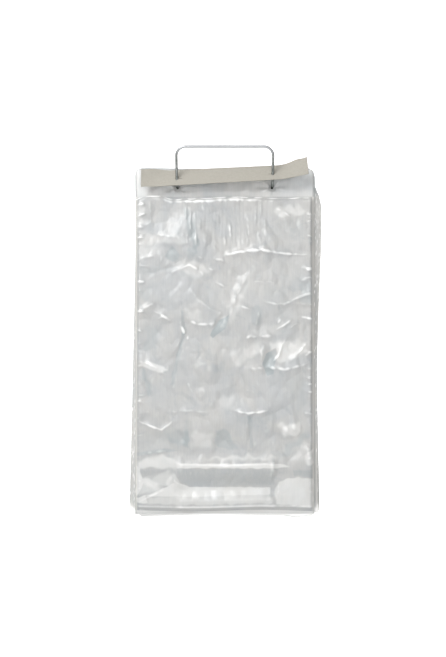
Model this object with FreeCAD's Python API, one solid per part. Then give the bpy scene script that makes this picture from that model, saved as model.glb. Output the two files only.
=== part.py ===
import FreeCAD, Part
import math
import os

from FreeCAD import Matrix, Vector

os.makedirs("parts", exist_ok=True)

# A wicketed pack of clear film bags on its wire wicket, in millimetres. +X is to the right, +Y runs to the
# rear along the wicket's legs and +Z is up. The origin is the middle of the wicket's straight top bar.

# wire wicket
wire_d = 3.8
leg_spacing = 152.4
handle_drop = 58.5  # top bar down to the legs
handle_lean = 25.0  # degrees that the handle leans forward of upright
corner_bend_r = 15.0
knee_bend_r = 7.0
leg_spare = 13.0  # length of leg left free behind the washers
tip_chamfer = 0.6

# bags
bag_count = 20
loose_bags = 3  # front bags whose pouches swing forward one after the other
bag_width = 287.0
bag_length = 512.0  # mouth to bottom
gusset_depth = 74.0
film_t = 0.05
hole_to_top = 31.8  # punched hole up to the lip's edge
hole_to_mouth = 12.8  # punched hole down to the mouth
hole_clear = 8.9  # how much larger than the wire the punched hole is
hole_drop = 0.8  # how far the hole's centre hangs below the wire's
lip_corner_r = 8.0
lip_standoff = 7.5  # end of the knee bend to the first lip
lip_pitch = 0.55
bottom_pitch = 1.1
loose_swing = 20.0  # degrees that a loose pouch swings ahead of the one behind it
mouth_room = 0.35  # left between a loose bag's lip and its pouch when those behind it have swung
fan_turn = 1.5  # degrees that the rearmost bags hang out of line, either way
fan_shift = 1.5
fan_step = 2.2  # radians between one bag and the next in the fan's swing from side to side

# header cards
card_length = 267.0
card_height = 28.5
card_t = 0.8
slot_below_top = 16.75
slit_length = 11.0
slit_height = 0.6
slit_shift = 2.4  # how far the slit's middle lies to the inner side of the wire
bore_clear = 0.4  # radial room round the wire where it has pushed the slit open
left_slot_drop = 47.2  # top bar down to each slot of the front card
right_slot_drop = 39.6
left_slot_lean = 23.5  # degrees that the front card's top leans back at each slot
right_slot_lean = 29.0
left_end_lean = -8.0
right_end_lean = 6.0
slot_to_bend = 2.5  # flat card left beyond each slot, before the ends stand up or curl
curl_r = 92.0
curl_rise = 6.0
left_rise = 2.4
left_end_roll = 4.5  # degrees that each end's upper corner is drawn in
right_end_roll = 7.5
card_stations = 19
rear_card_gap = 1.2
rear_hole_clear = 5.2

# retaining washers
washer_od = 14.0
washer_t = 4.5
washer_grip = 0.05  # radial room in the washer's bore
washer_gap = 2.0

lean = math.radians(handle_lean)
leg_down = Vector(0, math.sin(lean), -math.cos(lean))
knee_y = handle_drop * math.tan(lean)
knee_tangent = knee_bend_r * math.tan((math.pi / 2 - lean) / 2)
first_lip_y = knee_y + knee_tangent + lip_standoff
lip_stack = (bag_count - 1) * lip_pitch
rear_card_y = first_lip_y + lip_stack + rear_card_gap + card_t / 2
washer_y = rear_card_y + card_t / 2 + washer_gap
tip_y = washer_y + washer_t + leg_spare
hole_z = -handle_drop - hole_drop
hole_r = (wire_d + hole_clear) / 2
bend_start = leg_spacing / 2 + slit_length / 2 + slot_to_bend
tilt_step = (bottom_pitch - lip_pitch) / (hole_to_mouth + bag_length)
swung = math.radians(loose_swing * (loose_bags - 1))
mouth_gap = mouth_room + (loose_bags - 1) * lip_pitch * math.sin(swung)


def rod(points, bend_rs, d):
    """Round rod through the points: straight cylinders, tangent bends between them and chamfered ends."""
    pieces = []
    start = points[0]
    for i, corner in enumerate(points[1:-1]):
        along = (corner - points[i]).normalize()
        away = (points[i + 2] - corner).normalize()
        turn = along.getAngle(away)
        back = bend_rs[i] * math.tan(turn / 2)
        bend_start = corner - along * back
        pieces.append(Part.makeCylinder(d / 2, (bend_start - start).Length, start, along))
        axis = along.cross(away).normalize()
        centre = bend_start + axis.cross(along) * bend_rs[i]
        disc = Part.Face(Part.Wire(Part.makeCircle(d / 2, bend_start, along)))
        pieces.append(disc.revolve(centre, axis, math.degrees(turn)))
        start = corner + away * back
    away = (points[-1] - start).normalize()
    pieces.append(Part.makeCylinder(d / 2, (points[-1] - start).Length, start, away))
    for end, outward in ((points[0], (points[0] - points[1]).normalize()), (points[-1], away)):
        pieces.append(Part.makeCone(d / 2, d / 2 - tip_chamfer, tip_chamfer, end, outward))
    return pieces[0].multiFuse(pieces[1:]).removeSplitter()


def wicket_wire():
    """The bent wire: tip, leg, knee, handle leg, corner, top bar, and the same again on the other side."""
    half = leg_spacing / 2
    inner_tip_y = tip_y - tip_chamfer
    points = []
    for side in (-1, 1):
        outline = [
            Vector(side * half, inner_tip_y, -handle_drop),
            Vector(side * half, knee_y, -handle_drop),
            Vector(side * half, 0, 0),
        ]
        points += outline if side < 0 else outline[::-1]
    return rod(points, [knee_bend_r, corner_bend_r, corner_bend_r, knee_bend_r], wire_d)


def plate(width, top, bottom, t, corner_r=0.0):
    """Upright plate centred on x = 0 and y = 0, with its two upper corners rounded."""
    body = Part.makeBox(width, t, top - bottom, Vector(-width / 2, -t / 2, bottom))
    if corner_r > 0:
        upper = [e for e in body.Edges if e.Length < 2 * t and e.CenterOfMass.z > top - corner_r]
        body = body.makeFillet(corner_r, upper)
    return body


def punched(body, r):
    """The body with a round hole for each leg, level with z = 0."""
    depth = 2 * body.BoundBox.YLength
    for side in (-1, 1):
        start = Vector(side * leg_spacing / 2, -depth / 2, 0)
        body = body.cut(Part.makeCylinder(r, depth, start, Vector(0, 1, 0)))
    return body


def bag_lip():
    """Single film above the mouth, with rounded corners and the two punched holes."""
    return punched(plate(bag_width, hole_to_top, -hole_to_mouth, film_t, lip_corner_r), hole_r)


def bag_pouch(top):
    """Two films down to the gusset's fold and four below it, where the bottom is folded in."""
    fold = -hole_to_mouth - bag_length + gusset_depth
    films = plate(bag_width, top, fold, 2 * film_t)
    return films.fuse(plate(bag_width, fold, fold - gusset_depth, 4 * film_t))


def bag_tilt(i):
    """Degrees about X: from lips to bottoms the bags spread evenly about the middle of the stack."""
    return math.degrees((i - (bag_count - 1) / 2) * tilt_step)


def bag_fan(i):
    """How far bag i hangs out of line, from -1 to 1: the loose ones are straight, the rearmost furthest out."""
    if i < loose_bags:
        return 0.0
    return math.sqrt(i / (bag_count - 1)) * math.sin(fan_step * i)


def bag_y(i):
    return first_lip_y + i * lip_pitch


def hang(shape, i):
    """Moves a piece of bag i from its own flat frame to its place on the legs."""
    placed = shape.copy()
    placed.rotate(Vector(0, 0, 0), Vector(0, 1, 0), fan_turn * bag_fan(i))
    placed.rotate(Vector(0, 0, 0), Vector(1, 0, 0), bag_tilt(i))
    placed.translate(Vector(fan_shift * bag_fan(i), bag_y(i), hole_z))
    return placed


def blend_to(start, end, at):
    """0 before start and 1 after end, with a smooth change between."""
    share = min(max((at - start) / (end - start), 0.0), 1.0)
    return share * share * (3 - 2 * share)


def slot_point(side):
    """Where a handle leg's centre line crosses the front card."""
    drop = left_slot_drop if side < 0 else right_slot_drop
    return Vector(side * leg_spacing / 2, 0, 0) + leg_down * (drop / math.cos(lean))


def card_axes(s):
    """At s along the card from its middle: its centre, and the directions along, up and through it."""
    half = card_length / 2
    middle = (slot_point(-1) + slot_point(1)) * 0.5
    along = (slot_point(1) - slot_point(-1)).normalize()
    turned = max(s - bend_start, 0.0) / curl_r
    run = s - max(s - bend_start, 0.0) + curl_r * math.sin(turned)
    forward = curl_r * (1 - math.cos(turned))
    angle = left_slot_lean + (right_slot_lean - left_slot_lean) * blend_to(-bend_start, bend_start, s)
    angle += (left_end_lean - left_slot_lean) * blend_to(bend_start, half, -s)
    angle += (right_end_lean - right_slot_lean) * blend_to(bend_start, half, s)
    rise = curl_rise * blend_to(bend_start, half, s) + left_rise * blend_to(bend_start, half, -s)
    back = Vector(0, 1, 0) - along * along.y
    tangent = (along * math.cos(turned) - back * math.sin(turned)).normalize()
    upright = (Vector(0, 0, 1) - tangent * tangent.z).normalize()
    through = upright.cross(tangent).normalize()
    tilt = math.radians(angle)
    up = upright * math.cos(tilt) + through * math.sin(tilt)
    roll = left_end_roll * blend_to(bend_start, half, -s) - right_end_roll * blend_to(bend_start, half, s)
    up = up * math.cos(math.radians(roll)) + tangent * math.sin(math.radians(roll))
    through = up.cross(tangent).normalize()
    centre = middle + along * run - back * forward + Vector(0, 0, rise)
    centre += up * (slot_below_top - card_height / 2)
    return centre, tangent, up, through


def front_header_card():
    """Chipboard strip with a slot for each handle leg, its top leaning back and its right end curled forward."""
    sections = []
    for k in range(card_stations):
        s = card_length * (k / (card_stations - 1) - 0.5)
        centre, _, up, through = card_axes(s)
        rise = up * (card_height / 2)
        half_t = through * (card_t / 2)
        upper, lower = centre + rise, centre - rise
        corners = [upper + half_t, upper - half_t, lower - half_t, lower + half_t]
        sections.append(Part.makePolygon(corners + corners[:1]))
    card = Part.makeLoft(sections, True, False)
    for side in (-1, 1):
        card = card.cut(card_slot(side))
    return card


def card_slot(side):
    """Cutter for one slot: a thin die-cut slit, and the bore along the leg where the wire has pushed it open."""
    _, along, up, through = card_axes(side * leg_spacing / 2)
    origin = slot_point(side)
    deep = 10 * card_t
    corner = Vector(-slit_length / 2 - side * slit_shift, -slit_height / 2, -deep / 2)
    slit = Part.makeBox(slit_length, slit_height, deep, corner)
    place = Matrix(
        along.x, up.x, through.x, origin.x,
        along.y, up.y, through.y, origin.y,
        along.z, up.z, through.z, origin.z,
        0, 0, 0, 1,
    )
    bore = Part.makeCylinder(wire_d / 2 + bore_clear, 4 * deep, origin - leg_down * (2 * deep), leg_down)
    return slit.transformGeometry(place).fuse(bore)


def rear_header_card():
    """Flat chipboard strip behind the last bag, parallel to it, with a round hole for each leg."""
    strip = plate(card_length, slot_below_top, slot_below_top - card_height, card_t)
    strip = punched(strip, (wire_d + rear_hole_clear) / 2)
    strip.rotate(Vector(0, 0, 0), Vector(1, 0, 0), bag_tilt(bag_count - 1))
    strip.translate(Vector(0, rear_card_y, hole_z))
    return strip


def washer(side):
    """Rubber ring that grips a leg behind the rear card."""
    at = Vector(side * leg_spacing / 2, washer_y, -handle_drop)
    ring = Part.makeCylinder(washer_od / 2, washer_t, at, Vector(0, 1, 0))
    ring = ring.makeChamfer(tip_chamfer, [e for e in ring.Edges if e.Closed])
    return ring.cut(Part.makeCylinder(wire_d / 2 + washer_grip, washer_t, at, Vector(0, 1, 0)))


nodes = {
    "wicket_wire": wicket_wire(),
    "front_header_card": front_header_card(),
    "rear_header_card": rear_header_card(),
    "washer_left": washer(-1),
    "washer_right": washer(1),
}
lip = bag_lip()
loose_pouch = bag_pouch(-hole_to_mouth - mouth_gap)
whole_bag = lip.fuse(bag_pouch(-hole_to_mouth))
for i in range(bag_count):
    name = f"bag_{i + 1:02d}"
    if i < loose_bags:
        nodes[f"{name}_lip"] = hang(lip, i)
        nodes[f"{name}_pouch"] = hang(loose_pouch, i)
        hinge = hang(Part.Vertex(0, 0, -hole_to_mouth), i).Point
        print(f"{name} mouth hinge at y {hinge.y:.3f} z {hinge.z:.3f}")
    else:
        nodes[name] = hang(whole_bag, i)

print(f"pack hinge at y {first_lip_y + lip_stack / 2:.3f} z {-handle_drop:.3f}, leg tips at y {tip_y:.3f}")
for name, shape in nodes.items():
    solid = shape.Solids[0]
    low, high = solid.BoundBox.getPoint(0), solid.BoundBox.getPoint(6)
    print(f"{name}: {len(shape.Solids)} solid, valid {shape.isValid()}, {shape.Volume:.1f} mm3")
    print(f"    from ({low.x:.1f}, {low.y:.1f}, {low.z:.1f}) to ({high.x:.1f}, {high.y:.1f}, {high.z:.1f})")
    solid.exportStep(f"parts/{name}.step")
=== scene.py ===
import math

import bpy
import numpy as np
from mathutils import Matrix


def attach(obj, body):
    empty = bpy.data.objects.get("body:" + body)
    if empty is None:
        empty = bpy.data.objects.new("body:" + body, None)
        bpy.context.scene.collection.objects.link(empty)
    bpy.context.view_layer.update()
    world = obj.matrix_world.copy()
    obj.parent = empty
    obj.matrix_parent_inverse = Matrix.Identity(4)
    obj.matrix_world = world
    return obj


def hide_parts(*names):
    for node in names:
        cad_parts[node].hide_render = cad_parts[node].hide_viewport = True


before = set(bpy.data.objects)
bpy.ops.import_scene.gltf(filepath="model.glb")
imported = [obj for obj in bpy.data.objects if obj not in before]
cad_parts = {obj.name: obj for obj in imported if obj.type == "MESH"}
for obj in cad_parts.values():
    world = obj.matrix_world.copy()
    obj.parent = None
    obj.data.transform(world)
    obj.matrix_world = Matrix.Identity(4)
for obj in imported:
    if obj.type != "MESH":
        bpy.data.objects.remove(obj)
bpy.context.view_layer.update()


# ---------------------------------------------------------------------------------------------------------
# Camera: level and square to the pack, 1.4 m in front of the handle, as for a catalogue plate.
# ---------------------------------------------------------------------------------------------------------
camera_data = bpy.data.cameras.new("camera")
camera_data.lens = 48.98
camera_data.sensor_width = 36.0
camera_data.clip_end = 50.0
camera = bpy.data.objects.new("camera", camera_data)
camera.location = (-0.0028, -1.4, -0.285)
camera.rotation_euler = (math.radians(90.0), 0.0, 0.0)
bpy.context.scene.collection.objects.link(camera)
bpy.context.scene.camera = camera


# ---------------------------------------------------------------------------------------------------------
# Studio: a white paper sweep, floor and wall in one, that glows a little so that it stays evenly white,
# with one large soft light above and to the left of the lens and a weak one low on the right.
# ---------------------------------------------------------------------------------------------------------
class Tone:
    """One socket of a finish. Sums, differences and products of tones add Math nodes, make() any other."""

    def __init__(self, tree, socket=None):
        self.tree, self.socket = tree, socket

    def make(self, kind, settings=None, takes=None, gives=0):
        """A node of that kind: its settings are set first, then its sockets take values or other tones."""
        node = self.tree.nodes.new(kind)
        for name, value in (settings or {}).items():
            setattr(node, name, value)
        for name, value in (takes or {}).items():
            if isinstance(value, Tone):
                self.tree.links.new(value.socket, node.inputs[name])
            else:
                node.inputs[name].default_value = value
        return Tone(self.tree, node.outputs[gives])

    def maths(self, operation, first, second):
        return self.make("ShaderNodeMath", {"operation": operation}, {0: first, 1: second})

    def __add__(self, other):
        return self.maths("ADD", self, other)

    def __rsub__(self, other):
        return self.maths("SUBTRACT", other, self)

    def __mul__(self, other):
        return self.maths("MULTIPLY", self, other)

    __radd__, __rmul__ = __add__, __mul__

    def between(self, low, high):
        """0 where the value is low, 1 where it is high, and smooth between."""
        settings = {"interpolation_type": "SMOOTHSTEP"}
        return self.make("ShaderNodeMapRange", settings, {0: self, 1: low, 2: high})

    def blend(self, first, second):
        """The first colour where this is 0 and the second where it is 1."""
        settings = {"data_type": "RGBA"}
        return self.make("ShaderNodeMix", settings, {0: self, 6: first, 7: second}, gives=2)


def finish_of(name, **fixed):
    """An empty finish: its material, a Tone to mix from, and its shader with the fixed values set."""
    material = bpy.data.materials.new(name)
    material.use_nodes = True
    shader = material.node_tree.nodes["Principled BSDF"]
    for socket, value in fixed.items():
        shader.inputs[socket.replace("_", " ")].default_value = value
    return material, Tone(material.node_tree), shader


def feed(tone, shader, socket):
    tone.tree.links.new(tone.socket, shader.inputs[socket])


def skin(name, grid, keep=None, marks=None):
    """A piece whose faces are the cells of a grid of points: rows, columns and x y z, in millimetres.
    keep says which cells there are, and marks are values at the points that finishes read."""
    rows, columns = grid.shape[:2]
    number = np.arange(rows * columns).reshape(rows, columns)
    cells = np.stack([number[:-1, :-1], number[:-1, 1:], number[1:, 1:], number[1:, :-1]], axis=-1)
    cells = cells.reshape(-1, 4) if keep is None else cells[keep]
    used, cells = np.unique(cells, return_inverse=True)
    mesh = bpy.data.meshes.new(name)
    mesh.from_pydata((grid.reshape(-1, 3)[used] / 1000.0).tolist(), [], cells.reshape(-1, 4).tolist())
    mesh.polygons.foreach_set("use_smooth", np.ones(len(mesh.polygons), bool))
    for mark, values in (marks or {}).items():
        points = mesh.attributes.new(mark, "FLOAT", "POINT").data
        points.foreach_set("value", values.ravel()[used].astype(np.float32))
    piece = bpy.data.objects.new(name, mesh)
    bpy.context.scene.collection.objects.link(piece)
    return piece


def paper_sweep():
    """A floor that turns up into a wall along a quarter circle, the same all the way across."""
    turn = np.linspace(0.0, math.pi / 2, 25)
    y = np.concatenate([[-4500.0], 2200.0 + 900.0 * np.sin(turn), [3100.0]])
    z = np.concatenate([[-1300.0], -400.0 - 900.0 * np.cos(turn), [3600.0]])
    x = np.linspace(-4500.0, 4500.0, 9)
    return np.stack(np.broadcast_arrays(x[None, :], y[:, None], z[:, None]), axis=-1)


sweep = skin("paper_sweep", paper_sweep())
paper, tone, shader = finish_of("white_paper", Roughness=0.9, Emission_Strength=1.0)
place = tone.make("ShaderNodeTexCoord", gives=3)
fibre = tone.make("ShaderNodeTexNoise", {}, {"Vector": place, "Scale": 40.0, "Detail": 3.0})
feed(fibre.blend((0.86, 0.86, 0.86, 1.0), (0.90, 0.90, 0.90, 1.0)), shader, "Base Color")
depth = tone.make("ShaderNodeSeparateXYZ", {}, {"Vector": place}, gives=1)
dim, glowing = (0.02, 0.02, 0.02, 1.0), (0.68, 0.68, 0.68, 1.0)
feed(depth.between(0.3, 1.3).blend(dim, glowing), shader, "Emission Color")
sweep.data.materials.append(paper)

world = bpy.data.worlds.new("studio")
world.use_nodes = True
sky = Tone(world.node_tree)
height = sky.make("ShaderNodeSeparateXYZ", {}, {"Vector": sky.make("ShaderNodeTexCoord", gives=0)}, gives=2)
ceiling = height.between(0.05, 0.9).blend((0.21, 0.21, 0.215, 1.0), (1.0, 1.0, 0.995, 1.0))
world.node_tree.links.new(ceiling.socket, world.node_tree.nodes["Background"].inputs["Color"])
bpy.context.scene.world = world
bpy.context.scene.view_settings.view_transform = "Standard"


def soft_light(name, place, aim, size, power):
    """A square softbox at one point that faces another."""
    light = bpy.data.lights.new(name, "AREA")
    light.shape, light.size, light.energy = "SQUARE", size, power
    lamp = bpy.data.objects.new(name, light)
    lamp.location = place
    away = np.array(place) - np.array(aim)
    lamp.rotation_euler = (
        math.atan2(math.hypot(away[0], away[1]), away[2]),
        0.0,
        math.atan2(away[0], -away[1]),
    )
    bpy.context.scene.collection.objects.link(lamp)


soft_light("key_softbox", (-0.95, -1.42, 0.92), (0.0, 0.04, -0.3), 1.0, 42.0)
soft_light("front_fill", (0.35, -2.3, -0.15), (0.0, 0.04, -0.3), 1.2, 14.0)


# ---------------------------------------------------------------------------------------------------------
# Wicket: one length of 3.8 mm galvanised steel wire, bent cold into a handle and two legs, its ends cut
# and chamfered. The drawing through a die leaves fine lines along it, and the zinc is mottled grey.
# ---------------------------------------------------------------------------------------------------------
zinc, tone, shader = finish_of("galvanised_wire", Metallic=0.9, Specular_Tint=(0.0, 0.0, 0.0, 1.0))
place = tone.make("ShaderNodeTexCoord", gives=3)
fine = {"Scale": 260.0, "Detail": 4.0, "Roughness": 0.6}
broad = {"Scale": 45.0, "Detail": 5.0, "Roughness": 0.7}
spangle = tone.make("ShaderNodeTexNoise", {}, {"Vector": place} | fine)
scuffs = tone.make("ShaderNodeTexNoise", {}, {"Vector": place} | broad)
worn = scuffs.between(0.52, 0.68)
# Painted shade: rim is 1 where the wire turns edge-on to the view, and below it darkens the wire's edges
# towards black.
rim = tone.make("ShaderNodeLayerWeight", {}, {"Blend": 0.5}, gives=1).between(0.15, 0.6)
level = tone.make("ShaderNodeSeparateXYZ", {}, {"Vector": place}, gives=2)
base = spangle.between(0.3, 0.7).blend((0.16, 0.175, 0.165, 1.0), (0.34, 0.355, 0.345, 1.0))
# Painted highlight: the handle's bar at the top of the wire is painted lighter, by its height.
base = (level.between(-0.016, -0.004) * 0.75).blend(base, (0.46, 0.47, 0.49, 1.0))
# Painted shade along the wire's edges.
base = (rim * 0.9).blend(base, (0.03, 0.036, 0.033, 1.0))
feed(base, shader, "Base Color")
feed(0.32 + 0.14 * spangle + 0.14 * worn + 0.35 * rim, shader, "Roughness")
relief = spangle + 0.6 * scuffs
dents = tone.make("ShaderNodeBump", {}, {"Height": relief, "Strength": 0.12, "Distance": 0.0004})
feed(dents, shader, "Normal")

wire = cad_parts["wicket_wire"]
wire.data.materials.clear()
wire.data.materials.append(zinc)


# ---------------------------------------------------------------------------------------------------------
# Header cards: 0.8 mm grey chipboard strips, die cut. The front one is threaded on the handle's legs and
# has sprung into a curl at its right end; the rear one lies flat behind the last bag.
# ---------------------------------------------------------------------------------------------------------
board, tone, shader = finish_of("grey_chipboard", Roughness=0.86)
place = tone.make("ShaderNodeTexCoord", gives=3)
stretched = tone.make("ShaderNodeMapping", {}, {"Vector": place, "Scale": (0.6, 1.0, 1.0)})
fibres = {"Scale": 420.0, "Detail": 5.0, "Roughness": 0.65}
pulp = tone.make("ShaderNodeTexNoise", {}, {"Vector": stretched} | fibres)
cloud = tone.make("ShaderNodeTexNoise", {}, {"Vector": place, "Scale": 38.0, "Detail": 3.0})
fleck = tone.make("ShaderNodeTexVoronoi", {"feature": "F1"}, {"Vector": stretched, "Scale": 520.0})
specks = 1.0 - fleck.between(0.05, 0.16)
base = pulp.between(0.25, 0.75).blend((0.280, 0.266, 0.232, 1.0), (0.312, 0.298, 0.262, 1.0))
base = (cloud.between(0.35, 0.7) * 0.35).blend(base, (0.292, 0.280, 0.248, 1.0))
feed((specks * 0.35).blend(base, (0.30, 0.27, 0.22, 1.0)), shader, "Base Color")
nap = tone.make("ShaderNodeBump", {}, {"Height": pulp, "Strength": 0.25, "Distance": 0.0003})
feed(nap, shader, "Normal")

for name in ("front_header_card", "rear_header_card"):
    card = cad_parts[name]
    card.data.materials.clear()
    card.data.materials.append(board)


# ---------------------------------------------------------------------------------------------------------
# Bags: 0.05 mm clear polythene tube, cut to 287 mm wide bags, folded in 74 mm at the bottom and hot-knife
# sealed down both sides. Each back film runs on above the mouth as a lip with two punched holes.
# ---------------------------------------------------------------------------------------------------------
BAG_WIDTH = 287.0
SIDE = BAG_WIDTH / 2
BAG_LENGTH = 512.0
GUSSET = 74.0
LIP_TOP = 31.8  # above the line of the holes
MOUTH = -12.8
BOTTOM = MOUTH - BAG_LENGTH
GUSSET_FOLD = BOTTOM + GUSSET
HOLE_APART = 152.4
HOLE_R = 6.35
LIP_CORNER_R = 8.0
MOUTH_GAP = 1.06  # between a loose bag's lip and its pouch
BAGS = 20
LOOSE = 3
FIRST_LIP_Y = 39.24
LIP_PITCH = 0.55
BOTTOM_PITCH = 1.1
HOLE_Z = -59.3
TILT_STEP = (BOTTOM_PITCH - LIP_PITCH) / (BAG_LENGTH - MOUTH)  # radians from one bag to the next
FAN_TURN = 1.5  # degrees, at most
FAN_SHIFT = 1.5
FAN_STEP = 2.2  # radians of the fan's wave from one bag to the next
BEAD = 0.85  # share of the room between two bags that a seam's bead fills
SEAL_X, SEAL_REACH = 142.0, 0.9  # middle of a side seal, and how far it fades either side


def fan(i):
    """How far bag i hangs out of line: 0 for the loose ones, then a wave that grows towards the rear."""
    return 0.0 if i < LOOSE else math.sqrt(i / (BAGS - 1)) * math.sin(FAN_STEP * i)


def hang(across, forward, level, i):
    """Puts points of bag i, given across, forward of and up its own plane, on the legs: turned by its fan
    about y and by its tilt about x, then moved to its place in the pack."""
    a, b = math.radians(FAN_TURN * fan(i)), (i - (BAGS - 1) / 2) * TILT_STEP
    x, z = across * math.cos(a) + level * math.sin(a), level * math.cos(a) - across * math.sin(a)
    y, z = -forward * math.cos(b) - z * math.sin(b), z * math.cos(b) - forward * math.sin(b)
    return np.stack([x + FAN_SHIFT * fan(i), y + FIRST_LIP_Y + LIP_PITCH * i, z + HOLE_Z], axis=-1)


def sealed_edge(forward, front, z, spare=0.0):
    """Turns the front film's outermost points back over the bag's edge, where the hot knife has left a bead
    almost as thick as the room up to the next bag."""
    bead = BEAD * (LIP_PITCH - TILT_STEP * z) + spare
    forward[:, [0, -1]] -= (front * bead)[:, [0, -1]]
    return forward


def ease(low, high, values):
    """0 below low, 1 above high, and smooth between; low may be the larger."""
    share = np.clip((values - low) / (high - low), 0.0, 1.0)
    return share * share * (3.0 - 2.0 * share)


def ripples(x, z, length, seed, count=36, stretch=1.0):
    """A random smooth field of unit size: the mean of many waves of about that length, each with its own
    direction and phase. stretch above 1 lengthens it up and down."""
    draw = np.random.default_rng(seed)
    turn, phase = draw.uniform(0.0, 2 * math.pi, (2, count))
    pace = 2 * math.pi / length * draw.uniform(0.65, 1.5, count)
    total = np.zeros(np.broadcast(x, z).shape)
    for k in range(count):
        total += np.cos(pace[k] * (x * math.cos(turn[k]) + z / stretch * math.sin(turn[k])) + phase[k])
    return total * math.sqrt(2.0 / count)


def fold(x, z, line, height, width, lower=None):
    """A crease along a line of points: height on the line, falling as exp(-d/width) beside it with its very
    crest rounded, and tapering off at both ends. lower is its width on the under side, if that differs."""
    points = np.array(line, float)
    steps = np.diff(points, axis=0)
    runs = np.hypot(steps[:, 0], steps[:, 1])
    total, before = runs.sum(), 0.0
    nearest, share, under = np.full(x.shape, 1e9), np.zeros(x.shape), np.zeros(x.shape, bool)
    for start, step, run in zip(points[:-1], steps, runs):
        along = np.clip(((x - start[0]) * step[0] + (z - start[1]) * step[1]) / run**2, 0.0, 1.0)
        dx, dz = x - start[0] - along * step[0], z - start[1] - along * step[1]
        away = np.hypot(dx, dz)
        closer = away < nearest
        nearest = np.where(closer, away, nearest)
        share = np.where(closer, (before + along * run) / total, share)
        under = np.where(closer, dz < 0.0, under)
        before += run
    reach = np.where(under, lower or width, width)
    rounded = np.sqrt(nearest**2 + (0.22 * width) ** 2) - 0.22 * width
    taper = 0.25 + 0.75 * np.sin(math.pi * np.clip(share, 0.02, 0.98)) ** 0.6
    return height * np.exp(-rounded / reach) * taper


def hollow(x, z, at, size, turn, depth):
    """A smooth oval dip or bulge: depth at its middle, falling like a bell curve; turn is in degrees."""
    a = math.radians(turn)
    u = ((x - at[0]) * math.cos(a) + (z - at[1]) * math.sin(a)) / size[0]
    v = ((z - at[1]) * math.cos(a) - (x - at[0]) * math.sin(a)) / size[1]
    return depth * np.exp(-(u**2 + v**2))


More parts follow.
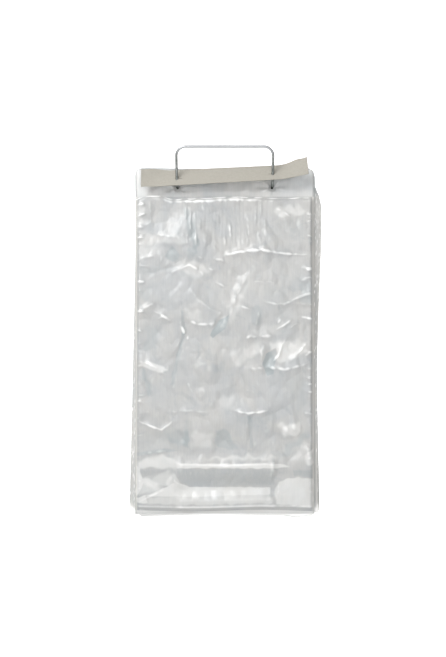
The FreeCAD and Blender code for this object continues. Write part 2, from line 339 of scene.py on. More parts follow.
# Folds of the front film: points across and up from the line of the holes, then height and width.
FRONT_FOLDS = [
    ([(-141, -24), (-128, -27)], 1.2, 3.0),
    ([(-141, -43), (-126, -41)], 1.1, 2.5),
    ([(-141, -62), (-130, -64)], 1.0, 2.5),
    ([(-141, -81), (-130, -75)], 1.1, 2.5),
    ([(-141, -118), (-130, -112), (-112, -108)], 1.6, 4.5),
    ([(-141, -124), (-120, -126)], 0.8, 2.5),
    ([(-141, -150), (-127, -151)], 1.1, 2.5),
    ([(-120, -27), (-119, -55), (-135, -64)], 0.9, 3.0),
    ([(-120, -72), (-98, -77), (-72, -80)], 1.4, 6.0),
    ([(-141, -138), (-116, -136), (-88, -128), (-72, -125)], -1.2, 4.0),
    ([(-84, -135), (-74, -131), (-57, -124), (-46, -129), (-36, -138)], 1.6, 4.0),
    ([(-43, -110), (-31, -116)], 0.8, 2.5),
    ([(-18, -114), (-6, -116), (4, -120)], 0.9, 2.5),
    ([(-27, -129), (-14, -133)], 0.8, 2.2),
    ([(-15, -151), (2, -160)], 0.9, 2.5),
    ([(-4, -112), (6, -107), (24, -103), (57, -100), (75, -103), (93, -106)], 2.1, 3.6),
    ([(86, -105), (112, -107), (140, -107)], 1.5, 3.0),
    ([(-143, -203), (-130, -194), (-112, -184)], 1.8, 5.0),
    ([(-115, -197), (-104, -203), (-90, -210)], 1.2, 3.0),
    ([(-116, -211), (-98, -207), (-88, -213)], 1.0, 3.0),
    ([(-57, -213), (-43, -219), (-32, -219), (-18, -218)], 1.8, 4.0),
    ([(-68, -188), (-66, -209), (-60, -231), (-69, -249), (-77, -271), (-82, -296), (-88, -322)], -1.8, 3.6),
    ([(-71, -219), (-64, -233), (-56, -246)], 1.2, 2.5),
    ([(-40, -246), (-35, -262), (-46, -281)], -1.1, 3.5),
    ([(-141, -228), (-131, -232)], 1.1, 2.5),
    ([(-141, -255), (-134, -256)], 1.0, 2.0),
    ([(-58, -159), (-42, -180), (-22, -195), (-9, -200)], 1.3, 6.0),
    ([(44, -127), (29, -152), (18, -175), (7, -209), (1, -222)], 1.6, 6.0),
    ([(43, -150), (80, -152)], 1.0, 3.0),
    ([(62, -183), (80, -186), (98, -188)], 1.1, 3.0),
    ([(97, -185), (115, -178), (127, -174), (140, -168)], 1.2, 2.6),
    ([(97, -185), (115, -185), (134, -188)], 0.9, 3.0),
    ([(26, -190), (41, -195)], 1.0, 2.2),
    ([(56, -190), (54, -208), (50, -222)], 1.0, 5.0),
    ([(84, -219), (89, -208)], 1.1, 3.0),
    ([(81, -228), (94, -221), (106, -212)], 1.3, 2.4),
    ([(102, -226), (116, -217)], 1.0, 2.2),
    ([(130, -130), (139, -133)], 1.0, 2.2),
    ([(121, -149), (131, -145), (141, -144)], 1.4, 3.0),
    ([(119, -207), (129, -208), (140, -211)], 1.2, 2.6),
    ([(33, -241), (46, -239), (68, -238), (80, -237)], 1.5, 4.5),
    ([(34, -242), (47, -231)], 1.0, 4.0),
    ([(75, -280), (86, -268), (91, -253), (97, -242)], 1.6, 3.5),
    ([(108, -275), (119, -263), (131, -248)], 1.3, 3.0),
    ([(126, -270), (140, -262)], 1.5, 4.0),
    ([(60, -280), (57, -262), (66, -246)], 1.0, 4.0),
    ([(-138, -279), (-122, -281), (-104, -291)], 1.5, 5.0),
    ([(-131, -286), (-126, -316), (-118, -337)], -1.5, 4.0),
    ([(-108, -296), (-106, -322)], -0.9, 4.0),
    ([(-140, -341), (-126, -345)], 1.2, 3.5),
    ([(-143, -364), (-133, -376), (-101, -387), (-82, -373)], 1.9, 2.6, 5.0),
    ([(-141, -357), (-120, -360)], 1.3, 5.0),
    ([(-88, -359), (-55, -357), (-20, -360)], 1.0, 4.0),
    ([(12, -357), (38, -361), (56, -359), (70, -356)], 1.6, 3.0),
    ([(127, -361), (141, -362)], 1.1, 2.5),
    ([(38, -290), (70, -288), (97, -291), (122, -285), (141, -277)], 1.7, 4.5),
    ([(132, -290), (141, -289)], 1.0, 2.0),
    ([(132, -305), (141, -306)], 1.0, 2.0),
    ([(131, -315), (141, -314)], 1.0, 2.0),
    ([(133, -327), (141, -328)], 0.9, 2.0),
    ([(41, -366), (40, -392), (43, -418)], -1.2, 3.0),
    ([(118, -420), (98, -441)], -1.2, 4.0),
    ([(-144, -430), (-120, -424), (-88, -421)], 1.2, 5.0),
    ([(-75, -442), (0, -444), (88, -440)], 1.0, 4.0),
    ([(131, -412), (136, -440)], 1.2, 5.0),
    ([(81, -31), (96, -38), (107, -47)], 1.1, 4.0),
    ([(134, -42), (142, -42)], 0.8, 2.0),
    ([(133, -49), (142, -49)], 0.8, 2.0),
    ([(133, -55), (142, -56)], 0.8, 2.0),
    ([(131, -98), (142, -101)], 1.0, 3.0),
    ([(111, -176), (137, -167)], 1.0, 2.5),
    ([(-30, -325), (10, -318), (60, -330)], 0.8, 8.0),
    ([(-60, -310), (-48, -335)], 0.9, 4.0),
    ([(76, -456), (82, -486), (74, -512)], -1.4, 4.0),
    ([(-78, -452), (-80, -470), (-62, -486)], 1.2, 4.0),
    ([(-141, -455), (-118, -475), (-104, -492)], -1.0, 4.0),
    ([(100, -472), (110, -510)], 0.45, 3.5),
    ([(122, -470), (132, -510)], 0.45, 3.5),
    ([(-139, -455), (-136, -480), (-138, -508)], 1.0, 3.0),
    ([(-141, -512), (-122, -500), (-96, -486)], 1.4, 5.0),
]

# Dips and bulges: middle, size, turn in degrees, and depth.
FRONT_HOLLOWS = [
    ((-89, -100), (14, 9), 10, -1.6),
    ((-53, -76), (7, 4), 55, -1.2),
    ((-9, -215), (18, 5), 58, -1.6),
    ((70, -280), (22, 8), 78, -1.8),
    ((-75, -400), (26, 12), 10, -1.6),
    ((4, -404), (24, 17), 20, -1.8),
    ((118, -408), (16, 14), 40, -1.6),
    ((100, -385), (14, 10), 0, 1.6),
    ((28, -300), (40, 16), 10, 1.2),
    ((-20, -330), (30, 18), 0, 1.0),
    ((100, -60), (26, 12), 5, -1.2),
    ((-100, -45), (16, 12), 0, -1.2),
    ((-40, -170), (20, 12), 40, -1.0),
    ((60, -215), (12, 9), 60, -1.2),
    ((-110, -230), (22, 12), 0, -1.0),
]

# Patches of painted light and shade on the front film, in part the milkiness where it stands apart from the one
# behind it (above 0) and the clear, cooler look where the two cling (below 0): how much, how soft at its edges,
# then its corners.
FRONT_PATCHES = [
    (-0.5, 1.8, (-77, -449), (79, -449), (79, -480), (-48, -482), (-66, -476), (-76, -464)),
    (-0.7, 1.5, (108, -451), (142, -451), (142, -465), (110, -462)),
    (-0.3, 3.5, (-134, -451), (-98, -451), (-112, -466), (-120, -470)),
    (-0.7, 5.0, (-99, -389), (-54, -386), (-57, -414), (-90, -410)),
    (-0.9, 4.0, (-16, -386), (6, -387), (23, -420), (0, -421), (-14, -414)),
    (-0.8, 5.0, (103, -408), (134, -388), (140, -398), (98, -432), (80, -436)),
    (-0.7, 2.0, (36, -364), (43, -366), (46, -418), (40, -418)),
    (-0.5, 4.0, (15, -364), (90, -364), (86, -375), (18, -378)),
    (-0.4, 8.0, (-142, -384), (-100, -392), (-60, -415), (-142, -420)),
    (-0.8, 2.0, (-142, -424), (-142, -430), (-70, -421), (-95, -417)),
    (-1.5, 1.4, (8, -203), (2, -224), (-20, -242), (-24, -236), (-8, -212)),
    (-1.5, 1.4, (81, -258), (84, -264), (77, -299), (68, -301), (60, -284), (66, -266)),
    (-1.0, 2.5, (-97, -108), (-84, -92), (-67, -112), (-78, -121), (-92, -117)),
    (-0.9, 3.0, (-66, -30), (-60, -30), (-40, -86), (-46, -104), (-60, -70)),
    (-0.8, 4.0, (-58, -96), (-42, -92), (-50, -116), (-66, -124)),
    (-0.45, 7.0, (82, -48), (130, -50), (132, -84), (84, -84)),
    (-0.4, 7.0, (60, -158), (98, -154), (100, -196), (62, -202)),
    (-0.7, 5.0, (119, -152), (139, -150), (138, -188), (121, -186)),
    (-0.75, 4.0, (43, -190), (62, -192), (56, -224), (40, -220)),
    (-0.5, 5.0, (-140, -160), (-118, -158), (-118, -184), (-139, -182)),
    (-0.8, 1.8, (-71, -196), (-65, -196), (-63, -236), (-68, -238)),
    (-0.8, 1.8, (-69, -232), (-63, -234), (-82, -318), (-88, -316)),
    (-0.6, 4.0, (-48, -249), (-38, -250), (-36, -268), (-48, -280)),
    (-0.6, 4.0, (-24, -280), (2, -279), (0, -295), (-20, -296)),
    (-0.9, 3.0, (-134, -288), (-127, -290), (-115, -330), (-122, -338)),
    (-0.5, 7.0, (100, -300), (132, -298), (130, -345), (104, -340)),
    (-0.6, 4.0, (-66, -370), (-58, -371), (-55, -420), (-66, -417)),
    (-0.6, 5.0, (-128, -222), (-104, -222), (-108, -262), (-134, -264)),
    (-0.5, 5.0, (-30, -186), (-4, -196), (-20, -228), (-40, -208)),
    (-0.7, 3.0, (134, -78), (142, -78), (142, -92), (134, -92)),
    (-0.5, 4.0, (-140, -128), (-100, -122), (-84, -132), (-130, -142)),
    (-0.5, 4.0, (-128, -36), (-116, -30), (-116, -68), (-128, -72)),
    (0.6, 4.0, (-80, -426), (6, -428), (30, -424), (102, -420), (80, -436), (-80, -436)),
    (0.75, 4.0, (-142, -438), (-104, -426), (-74, -436), (-72, -449), (-142, -449)),
    (1.0, 1.2, (-76, -441), (84, -441), (106, -446), (84, -448.5), (-76, -448.5)),
    (0.5, 4.0, (-139, -462), (-104, -476), (-100, -486), (-141, -498)),
    (0.55, 5.0, (-128, -458), (-84, -452), (-86, -474), (-112, -484), (-132, -474)),
    (0.9, 2.5, (126, -432), (140, -416), (142, -442), (132, -444)),
    (1.0, 1.5, (-126, -498), (-78, -474), (-58, -480), (-58, -498)),
    (1.0, 1.5, (-58, -481), (73, -484), (73, -496), (-58, -498)),
    (0.6, 2.5, (-124, -499), (74, -495), (74, -513), (-124, -513)),
    (0.8, 2.0, (86, -472), (108, -464), (142, -466), (142, -517), (82, -515), (79, -492)),
    (1.0, 1.5, (-142, -503), (-126, -497), (-124, -511), (-140, -511)),
    (0.9, 1.5, (-142, -446), (-136, -449), (-130, -474), (-142, -502)),
    (0.6, 3.0, (-94, -472), (-80, -453), (-66, -484), (-90, -484)),
    (0.7, 5.0, (80, -32), (104, -24), (132, -34), (128, -44), (84, -46)),
    (0.5, 4.0, (-126, -72), (-62, -82), (-62, -90), (-136, -92)),
    (0.5, 5.0, (-138, -92), (-104, -94), (-112, -112), (-138, -116)),
    (0.6, 6.0, (-82, -116), (-58, -110), (-18, -132), (-46, -146), (-78, -136)),
    (0.4, 4.0, (46, -123), (50, -128), (30, -180), (22, -176)),
    (0.4, 4.0, (26, -170), (32, -176), (10, -222), (2, -216)),
    (0.9, 2.5, (-140, -284), (-128, -278), (-110, -281), (-90, -293), (-104, -297)),
    (0.5, 4.0, (-54, -286), (-40, -276), (-28, -280), (-44, -290)),
    (0.7, 5.0, (72, -246), (132, -246), (138, -262), (96, -282), (78, -276)),
    (0.9, 5.0, (86, -380), (121, -376), (118, -396), (92, -398)),
    (0.45, 7.0, (-16, -336), (18, -332), (16, -354), (-14, -354)),
    (0.5, 6.0, (-54, -392), (-18, -390), (-18, -416), (-52, -418)),
    (0.6, 6.0, (4, -266), (54, -246), (62, -262), (20, -288)),
    (0.7, 4.0, (-140, -24), (-128, -22), (-132, -62), (-141, -64)),
    (0.5, 5.0, (-64, -196), (-24, -200), (-20, -216), (-60, -212)),
    (0.4, 6.0, (42, -224), (96, -216), (92, -236), (46, -238)),
]


def patch(x, z, corners, soft):
    """1 inside the lines between its corners, 0 outside, and smooth over soft either side of them."""
    inside, middle = np.ones(x.shape), np.mean(corners, axis=0)
    for (x0, z0), (x1, z1) in zip(corners, corners[1:] + corners[:1]):
        long = math.hypot(x1 - x0, z1 - z0)
        side = math.copysign(1.0, (middle[0] - x0) * (z1 - z0) - (middle[1] - z0) * (x1 - x0))
        inside *= ease(-soft, soft, side * ((x - x0) * (z1 - z0) - (z - z0) * (x1 - x0)) / long)
    return inside


def standing_apart_and_painted_shading(x, z):
    """The sum of the front's patches of painted light and shade, their edges strayed by a fine ripple."""
    total, across, up = np.zeros(x.shape), ripples(x, z, 20.0, 31), ripples(x, z, 20.0, 32)
    for size, soft, *corners in FRONT_PATCHES:
        stray = min(1.6, 0.3 * soft)
        total += size * patch(x + stray * across, z + stray * up, corners, soft)
    return np.clip(total, -1.5, 1.0)


# Levels of the puckers along each side seam.
LEFT_PUCKERS = (
    -25, -32, -44, -60, -64, -72, -80, -91, -106, -118, -150, -154, -165, -171, -198, -208, -218, -228, -236,
    -249, -263, -286, -314, -333, -341, -347, -354, -362, -368, -397, -405, -417, -431, -444, -470, -484,
)
RIGHT_PUCKERS = (
    -43, -48, -53, -78, -86, -106, -111, -128, -131, -144, -149, -171, -175, -187, -199, -210, -237, -244, -252,
    -263, -284, -302, -308, -314, -327, -334, -356, -362, -380, -399, -405, -419, -432, -448, -476, -490,
)


def puckers(inward, z, levels, seed):
    """Short sharp ridges that run in from a seam at these levels, where the hot knife has shrunk it."""
    draw = np.random.default_rng(seed)
    total = np.zeros(z.shape)
    for level in levels:
        reach, slope, height = draw.uniform(9.0, 24.0), draw.uniform(-0.35, 0.35), draw.uniform(1.0, 2.1)
        away = np.abs(z - level - slope * (inward - 6.0))
        total += height * np.exp(-away / 1.7) * ease(reach, 2.5, inward)
    return total


def crumple(x, z, seed, size=1.0):
    """The film's own crumpling: one long smooth ripple, and sharp-edged ones of three lengths, each the size
    of its field's distance from 0, so that it creases where the field changes sign."""
    total = 1.2 * ripples(x, z, 120.0, seed)
    for k, (length, height) in enumerate(((70.0, 0.75), (38.0, 0.48), (20.0, 0.13))):
        total += height * (np.abs(ripples(x, z, length, seed + 7 * k + 1, stretch=1.25)) - 0.6)
    return size * total


def edge_room(x, z):
    """1 in the open film and 0 at its seams, mouth and bottom."""
    across = ease(SIDE - 0.6, SIDE - 7.0, np.abs(x))
    return across * ease(BOTTOM, BOTTOM + 9.0, z) * (0.35 + 0.65 * ease(MOUTH, MOUTH - 7.0, z))


def front_swell(x, z):
    """How far the first bag's front film stands off its back film: a crumpled body, calmer over the gusset,
    with folds, hollows and puckers, fine pleats under the mouth, and the gusset's ledge and trough."""
    room = edge_room(x, z)
    calm = 0.12 + 0.88 * ease(-446.0, -420.0, z)
    body = 3.4 + calm * crumple(x, z, 14)
    for line, height, width, *lower in FRONT_FOLDS:
        body += fold(x, z, line, 1.5 * height, 1.2 * width, *lower)
    body += calm * sum(hollow(x, z, at, size, turn, 1.6 * depth) for at, size, turn, depth in FRONT_HOLLOWS)
    body += puckers(SIDE + x, z, LEFT_PUCKERS, 51) + puckers(SIDE - x, z, RIGHT_PUCKERS, 52)
    pleated = ease(-84.0, -62.0, x) * ease(84.0, 62.0, x) * ease(-104.0, -84.0, z) * ease(-13.0, -30.0, z)
    strength = 0.6 + 0.4 * np.abs(ripples(x, z, 34.0, 72))
    body += pleated * 0.26 * ripples(x, z, 6.0, 71, stretch=11.0) * strength
    middle = ease(-84.0, -68.0, x) * ease(86.0, 74.0, x)
    ledge = ease(-420.0, -449.0, z) * ease(-560.0, -450.0, z)
    trough = ease(-449.0, -482.0, z) * ease(-508.0, -484.0, z)
    side_trough = ease(-450.0, -462.0, z) * ease(-500.0, -464.0, z)
    panel = ease(-450.0, -456.0, z) * ease(-484.0, -472.0, z)
    body += (2.0 + 4.0 * middle) * ledge
    body -= middle * 8.2 * trough
    body -= (1.0 - middle) * 2.0 * side_trough
    body += middle * 0.11 * ripples(x, z, 5.0, 73, stretch=9.0) * panel
    return 0.35 + room * np.maximum(body, 0.1 + 0.03 * body)


def behind_swell(x, z, seed):
    """The same for the bags behind, whose films lie quieter."""
    body = 1.1 + 0.55 * crumple(x, z, seed)
    return 0.3 + edge_room(x, z) * np.maximum(body, -0.1 + 0.05 * body)


def film_rows(top, step):
    """The levels and layers of a pouch's rows, along its film from the mouth of its back down, in and out of
    the gusset and up its front: the level, and 0 to 1 from back film to front film."""
    back = np.linspace(top, BOTTOM, int((top - BOTTOM) / (4 * step)) + 1)
    up = np.linspace(BOTTOM, GUSSET_FOLD, int(GUSSET / (3 * step)) + 1)
    front = np.linspace(BOTTOM, top, int((top - BOTTOM) / step) + 1)
    near = np.array([0.6, 0.25])
    level = np.concatenate([
        back[:-1], BOTTOM + near, [BOTTOM], BOTTOM + near[::-1], up[1:-1],
        GUSSET_FOLD - near, [GUSSET_FOLD], GUSSET_FOLD - near[::-1], up[-2:0:-1],
        BOTTOM + near, [BOTTOM], BOTTOM + near[::-1], front[1:],
    ])
    layer = np.concatenate([
        np.zeros(len(back) + 1), [0.17], np.full(len(up) + 2, 1 / 3), [0.5],
        np.full(len(up) + 2, 2 / 3), [0.83], np.ones(len(front) + 1),
    ])
    return level, layer


def creased(swell, spacing, open_film=1.0):
    """How a swell bends at each point, negative on a crest: the sum of its second differences over the
    spacing squared, averaged over five points each way. The one across counts only in open film."""
    bend = np.zeros(swell.shape)
    bend[:, 1:-1] += (swell[:, 2:] + swell[:, :-2] - 2 * swell[:, 1:-1]) / spacing[0] ** 2
    bend *= open_film
    bend[1:-1, :] += (swell[2:] + swell[:-2] - 2 * swell[1:-1]) / spacing[1] ** 2
    for axis in (0, 1, 0, 1):
        bend = (np.roll(bend, 1, axis) + bend + np.roll(bend, -1, axis)) / 3.0
    return bend


def seal_mark(across):
    """1 along the middle of either side seal, fading off like a bell curve."""
    return np.exp(-(((np.abs(across) - SEAL_X) / SEAL_REACH) ** 2))


def mouth_dip(x):
    """How far the front film's cut edge, which has relaxed into a wave, hangs below the mouth's line."""
    at = [-143.5, -136, -125, -104, -94, -84, -76, -64, -33, 8, 49, 86, 120, 143.5]
    dip = [5.0, 2.0, -1.5, -1.5, 1.5, 4.2, 4.6, 3.2, 3.0, 0.2, 1.2, 2.8, 1.6, 1.2]
    fine = np.interp(x, at, dip)
    return np.convolve(np.pad(fine, 4, mode="edge"), np.ones(9) / 9, mode="valid") + 0.25 * np.sin(x / 5.0)


def pouch(name, i, top, step, lift, swell, dip, raised):
    """A pouch as one folded film. Each row runs across at its level. Its films lie lift forward of the bag's
    plane at the back, lift + swell at the front, and evenly between in the gusset. dip lowers the front
    film's cut edge, and raised draws the bottom up where the film has gathered."""
    level, layer = film_rows(top, step)
    x = np.linspace(-SIDE, SIDE, int(BAG_WIDTH / step) + 1)
    x = np.concatenate([x[:1] - 0.15, x, x[-1:] + 0.15])
    across, z = np.meshgrid(x, level)
    depth = np.broadcast_to(layer[:, None], across.shape)
    inner = swell(across, z)
    forward = sealed_edge(lift(across, z) + depth * inner, depth == 1.0, z, spare=0.3)
    z = z - np.where(depth == 1.0, dip * mouth_dip(x) * ease(top - 60.0, top, z), 0.0)
    z = z + raised * ease(GUSSET_FOLD, BOTTOM, z) * (1.0 + 0.2 * np.sin(across / 37.0 + i))
    front = depth[:, 0] == 1.0
    # Painted highlight and shade: the front film's crests are whitened and its valleys darkened, and its ragged
    # cut mouth edge is whitened as a glint.
    crease_glint_shade = np.zeros(across.shape)
    bend = creased(inner[front], (x[2] - x[1], step), ease(138.0, 132.0, np.abs(x)))
    ragged = 0.19 + 0.12 * ripples(across[front], 0.0, 22.0, 61)
    cut = ease(top - 2.2, top - 0.4, level[front])[:, None] * ragged
    crease_glint_shade[front] = bend - cut
    seal_and_edge_shade = seal_mark(across)
    gusset = ease(GUSSET_FOLD + 1.0, GUSSET_FOLD - 1.0, z)
    flat_level = np.broadcast_to(level[:, None], across.shape)
    # Painted light: the bottoms of the bags behind the first, which lie in the shade of the bag in front, are
    # lightened; the first bag's front takes the patches of painted light and shade.
    apart_and_painted_shading = 0.9 * ease(BOTTOM + 12.0, BOTTOM, flat_level) * (i > 0)
    if i == 0:
        apart_and_painted_shading[front] = standing_apart_and_painted_shading(across[front], flat_level[front])
    marks = {"crease_glint_shade": crease_glint_shade, "seal_and_edge_shade": seal_and_edge_shade, "gusset": gusset, "apart_and_painted_shading": apart_and_painted_shading}
    return skin(name, hang(across, forward, z, i), marks=marks)


def film_finish(name, alpha, milk, seam):
    """Clear polythene: milky where films lie on each other, with painted highlights whitening its crests and
    cut edges and painted shade darkening its valleys, warmer along its seals, dark grey along the front lips'
    cut edges as painted shade, with fine draw lines up and down, cooler patches where films cling, a cooler
    gusset that is partly painted shade, and patches of painted light and shade, in part the milkiness of films
    that stand apart and the clearness of films that cling."""
    material, tone, shader = finish_of(name, IOR=1.5, Metallic=0.04, Specular_IOR_Level=0.7)
    place = tone.make("ShaderNodeTexCoord", gives=3)
    crease_glint_shade = tone.make("ShaderNodeAttribute", {"attribute_name": "crease_glint_shade"}, gives=2)
    seal_and_edge_shade = tone.make("ShaderNodeAttribute", {"attribute_name": "seal_and_edge_shade"}, gives=2)
    gusset = tone.make("ShaderNodeAttribute", {"attribute_name": "gusset"}, gives=2)
    apart_and_painted_shading = tone.make("ShaderNodeAttribute", {"attribute_name": "apart_and_painted_shading"}, gives=2)
    wide = {"Scale": 16.0, "Detail": 3.0, "Distortion": 1.2}
    narrow = {"Scale": 26.0, "Detail": 2.0, "Distortion": 2.0}
    patches = tone.make("ShaderNodeTexNoise", {}, {"Vector": place} | wide)
    cling = tone.make("ShaderNodeTexNoise", {}, {"Vector": place} | narrow)
    lines = tone.make("ShaderNodeMapping", {}, {"Vector": place, "Scale": (1.0, 1.0, 0.05)})
    drawn = tone.make("ShaderNodeTexNoise", {}, {"Vector": lines, "Scale": 420.0, "Detail": 2.0})
    milky, cool = (milk * 1.01, milk, milk * 0.975, 1.0), (milk * 0.70, milk * 0.775, milk * 0.79, 1.0)
    bright = (0.84, 0.835, 0.81, 1.0)
    colour = patches.between(0.35, 0.72).blend(milky, (milk * 0.92, milk * 0.94, milk * 0.95, 1.0))
    colour = (cling.between(0.60, 0.70) * 0.25).blend(colour, cool)
    colour = (drawn.between(0.42, 0.60) * 0.17).blend(colour, cool)
    # Cooler over the gusset, where more films lie together, partly as painted shade of the gusset panel.
    colour = (gusset * 0.10).blend(colour, cool)
    # Painted shade where the patches are below 0 and painted light where they are above 0, in part the
    # clearness and milkiness of films that cling and stand apart.
    colour = ((apart_and_painted_shading * -1.0).between(0.0, 1.5) * 0.95).blend(colour, cool)
    milkier_and_painted_light = apart_and_painted_shading.between(0.0, 1.0) * (0.62 + 0.7 * patches)
    colour = (milkier_and_painted_light * 0.42).blend(colour, bright)
    # Painted shade in the valleys of the folds.
    colour = (crease_glint_shade.between(0.05, 0.35) * 0.4).blend(colour, cool)
    # Seam colour along the seals; on the front lips it is a dark grey, painted shade along their cut edges.
    colour = (seal_and_edge_shade * 0.7).blend(colour, seam)
    # Painted highlight: crests and cut edges are whitened and made more opaque.
    white = (crease_glint_shade * -1.0).between(0.03, 0.20)
    feed((white * 0.55).blend(colour, (0.93, 0.93, 0.92, 1.0)), shader, "Base Color")
    feed(alpha + 0.25 * white + 0.10 * milkier_and_painted_light, shader, "Alpha")
    feed(0.34 + 0.10 * patches + 0.10 * seal_and_edge_shade, shader, "Roughness")
    relief = tone.make("ShaderNodeBump", {}, {"Height": drawn, "Strength": 0.14, "Distance": 0.0003})
    feed(relief, shader, "Normal")
    return material


front_film = film_finish("clear_film_front", 0.68, 0.50, (0.76, 0.74, 0.68, 1.0))
film = film_finish("clear_film", 0.72, 0.56, (0.70, 0.685, 0.64, 1.0))


def lift_of(i):
    """How far forward of its plane a loose bag's back film is pushed by the fronts of those behind it."""
    behind = [41 + 10 * k for k in range(i + 1, LOOSE)]
    return lambda x, z: sum((behind_swell(x, z, seed) for seed in behind), np.zeros(x.shape))


loose_top = MOUTH - MOUTH_GAP
for i in range(LOOSE):
    name = f"bag_{i + 1:02d}"
    step = 1.5 if i == 0 else 3.5
    swell = front_swell if i == 0 else (lambda x, z, seed=41 + 10 * i: behind_swell(x, z, seed))
    raised = (7.0, 4.5, 2.0)[i]
    piece = pouch(f"{name}_film", i, loose_top, step, lift_of(i), swell, dip=float(i == 0), raised=raised)
    piece.data.materials.append(front_film if i == 0 else film)
    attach(piece, name)
    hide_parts(f"{name}_pouch")


# ---------------------------------------------------------------------------------------------------------
# Lips of the three loose bags: the back film's single layer above the mouth, its top corners cut round and
# two 12.7 mm holes punched through it, by which the bag hangs on the wicket's legs.
# ---------------------------------------------------------------------------------------------------------
LIP_TUCK = 1.5  # how far a lip's film runs on below the mouth, behind its pouch
LIP_STEP = 1.6


def half_width(level):
    """Half a bag's width at each level: all of it, less its rounded corners at the top of the lip."""
    over = np.clip(level - (LIP_TOP - LIP_CORNER_R), 0.0, LIP_CORNER_R)
    return SIDE - LIP_CORNER_R + np.sqrt(LIP_CORNER_R**2 - over**2)


def lip(name, i, step, lift):
    """A lip: one film from just below the mouth, behind its pouch, up to its rounded corners. Each row is
    narrowed to the outline's width there, points near a hole are moved onto its circle, and the cells inside
    the circles are left out."""
    x = np.linspace(-1.0, 1.0, int(BAG_WIDTH / step) + 1)
    level = np.linspace(MOUTH - LIP_TUCK, LIP_TOP, int((LIP_TOP - MOUTH + LIP_TUCK) / step) + 1)
    half = half_width(level)
    across, z = x[None, :] * half[:, None], np.broadcast_to(level[:, None], (len(level), len(x))).copy()
    inside = np.zeros(across.shape, bool)
    for side in (-1, 1):
        dx, dz = across - side * HOLE_APART / 2, z
        far = np.hypot(dx, dz)
        near = np.abs(far - HOLE_R) < 0.62 * step
        inside |= (far < HOLE_R) | near
        pull = np.where(near, HOLE_R / np.maximum(far, 1e-6), 1.0)
        across, z = side * HOLE_APART / 2 + dx * pull, dz * pull
    keep = ~(inside[:-1, :-1] & inside[:-1, 1:] & inside[1:, 1:] & inside[1:, :-1])
    forward = lift(across, z)
    rim = np.minimum(half[:, None] - np.abs(across), LIP_TOP - z)
    # Painted shade: the lip's cut edge gets a dark grey band and a cooler band, and its folds take painted
    # highlight and shade.
    marks = {"crease_glint_shade": 0.8 * creased(forward, (step, step), rim > 4.0), "seal_and_edge_shade": ease(3.4, 0.8, rim)}
    marks |= {"gusset": np.zeros(across.shape), "apart_and_painted_shading": -ease(2.4, 0.6, rim)}
    return skin(name, hang(across, forward, z, i), keep=keep, marks=marks)


def lip_lift(x, z, size=1.0):
    """A lip's own waves, pinched at the holes, from which taut folds run down and out."""
    total = 0.5 + 0.45 * ripples(x, z, 34.0, 5, stretch=1.6)
    for side in (-1, 1):
        dx = x - side * HOLE_APART / 2
        far, turn = np.hypot(dx, z), np.arctan2(z, dx)
        total += 0.7 * np.cos(7.0 * turn + side) * np.exp(-((far - 14.0) / 12.0) ** 2)
    return size * total * ease(MOUTH, MOUTH + 10.0, z) - 0.12


# Lighter than the other films, partly as painted light against the header card's shadow; its seam colour is a
# dark grey, painted shade along the lips' cut edges.
lip_film = film_finish("clear_film_lip", 0.6, 0.78, (0.34, 0.34, 0.33, 1.0))
for i in range(LOOSE):
    name = f"bag_{i + 1:02d}"
    piece = lip(f"{name}_lip_film", i, LIP_STEP, lambda x, z: lip_lift(x, z, 1.0 - 0.2 * i))
    piece.data.materials.append(lip_film if i < 2 else film)
    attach(piece, "pack")
    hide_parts(f"{name}_lip")


# ---------------------------------------------------------------------------------------------------------
# The seventeen bags behind: the same bags, still pressed together as they came off the stacker, with their
# edges fanned a little to either side. Their films are whole from lip to bottom.
# ---------------------------------------------------------------------------------------------------------
# How far the rearmost bag's right edge has slipped out, and at which levels.
RIGHT_FLARE_LEVELS = (-525, -450, -330, -270, -180, -100, -30, -12, 8, 32)
RIGHT_FLARE = (1.0, 1.0, 1.0, 2.5, 7.0, 12.0, 14.0, 10.0, 1.5, 0.0)
LIP_ROWS = 10
SEAM_COLUMNS = (0.0, 0.7, 1.5, 2.3, 4.5)  # from the side edge, where the columns lie closer


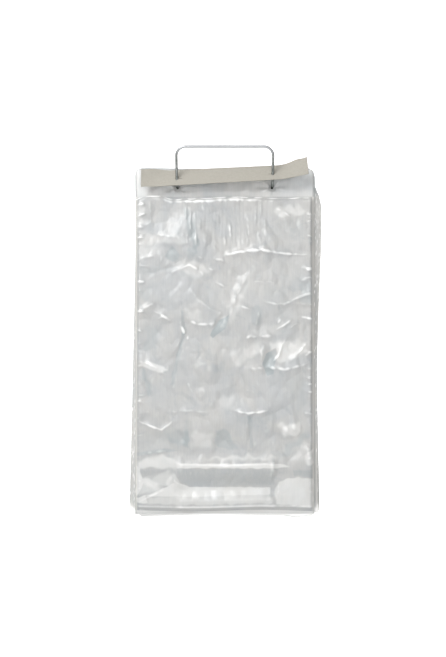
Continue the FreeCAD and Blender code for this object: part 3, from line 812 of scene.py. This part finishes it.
def whole_bag(name, i, step):
    """A bag as one folded film: its lip and back film, the gusset, and its front film up to the mouth. It
    lies in the pack's own waves, which grow towards the rear. Its two punched holes aren't cut, so the
    wicket's legs run through its film."""
    level, layer = film_rows(MOUTH, step)
    lip_level = np.linspace(LIP_TOP, MOUTH, LIP_ROWS + 1)[:-1]
    level, layer = np.concatenate([lip_level, level]), np.concatenate([np.zeros(LIP_ROWS), layer])
    half = half_width(level)
    seams = np.array(SEAM_COLUMNS) / SIDE
    open_film = np.linspace(-0.94, 0.94, int(BAG_WIDTH / step) - 2)
    x = np.concatenate([[-1.001], seams - 1.0, open_film, 1.0 - seams[::-1], [1.001]])
    across, z = x[None, :] * half[:, None], np.broadcast_to(level[:, None], (len(level), len(x)))
    rear = max(i - 12.0, 0.0) / 7.0
    forward = 0.28 * layer[:, None] * ease(MOUTH, MOUTH - 30.0, z)
    waves = 0.6 + 0.5 * ripples(across, z, 90.0, 91) + 0.25 * ripples(across, z, 40.0, 92)
    forward = forward - rear * waves
    forward = sealed_edge(forward, layer[:, None] == 1.0, z)
    share = (i - LOOSE) / (BAGS - 1 - LOOSE)
    flare = share * ease(60.0, 143.5, across) * np.interp(z, RIGHT_FLARE_LEVELS, RIGHT_FLARE)
    z = z + ease(-300.0, BOTTOM, z) * (1.1 * math.sin(2.9 * i) + 0.006 * math.sin(1.7 * i) * across)
    z = z - 3.0 * (i < 8) * ease(-480.0, BOTTOM, z) * np.exp(-(((across - 118.0) / 13.0) ** 2))
    zero = np.zeros(across.shape)
    rim = np.minimum(half[:, None] - np.abs(across), LIP_TOP - z)
    # Painted light on the stacked bottoms and on the right edges that flare out, which lie in shade, and
    # painted shade along the lip's cut edge.
    apart_and_painted_shading = 0.9 * ease(BOTTOM + 26.0, BOTTOM + 4.0, z) - ease(2.4, 0.6, rim) * ease(MOUTH - 6.0, MOUTH, z)
    apart_and_painted_shading = apart_and_painted_shading + 0.8 * ease(1.0, 6.0, flare)
    # Painted highlights: white specks near the edges and a whiter band along the stacked bottoms, as glints.
    specks = ease(1.0, 1.8, ripples(3.0 * across, z, 8.0, 60 + i)) * ease(6.0, 1.0, rim)
    crease_glint_shade = -0.3 * specks - 0.2 * ease(BOTTOM + 16.0, BOTTOM + 3.0, z)
    marks = {"crease_glint_shade": crease_glint_shade, "seal_and_edge_shade": seal_mark(across), "gusset": zero, "apart_and_painted_shading": apart_and_painted_shading}
    return skin(name, hang(across + flare, forward, z, i), marks=marks)


for i in range(LOOSE, BAGS):
    name = f"bag_{i + 1:02d}"
    piece = whole_bag(f"{name}_film", i, 5.0)
    piece.data.materials.append(film)
    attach(piece, "pack")
    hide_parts(name)


# ---------------------------------------------------------------------------------------------------------
# Washers: two black rubber rings pushed onto the legs behind the rear card, which keep the pack on.
# ---------------------------------------------------------------------------------------------------------
rubber, tone, shader = finish_of("washer_rubber", Specular_IOR_Level=0.35)
place = tone.make("ShaderNodeTexCoord", gives=3)
grain = tone.make("ShaderNodeTexNoise", {}, {"Vector": place, "Scale": 900.0, "Detail": 4.0})
bloom = tone.make("ShaderNodeTexNoise", {}, {"Vector": place, "Scale": 120.0, "Detail": 3.0})
black, bloomed = (0.022, 0.022, 0.023, 1.0), (0.055, 0.054, 0.052, 1.0)
feed(bloom.between(0.4, 0.75).blend(black, bloomed), shader, "Base Color")
feed(0.55 + 0.2 * grain, shader, "Roughness")
pores = tone.make("ShaderNodeBump", {}, {"Height": grain, "Strength": 0.3, "Distance": 0.0002})
feed(pores, shader, "Normal")
for name in ("washer_left", "washer_right"):
    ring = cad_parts[name]
    ring.data.materials.clear()
    ring.data.materials.append(rubber)
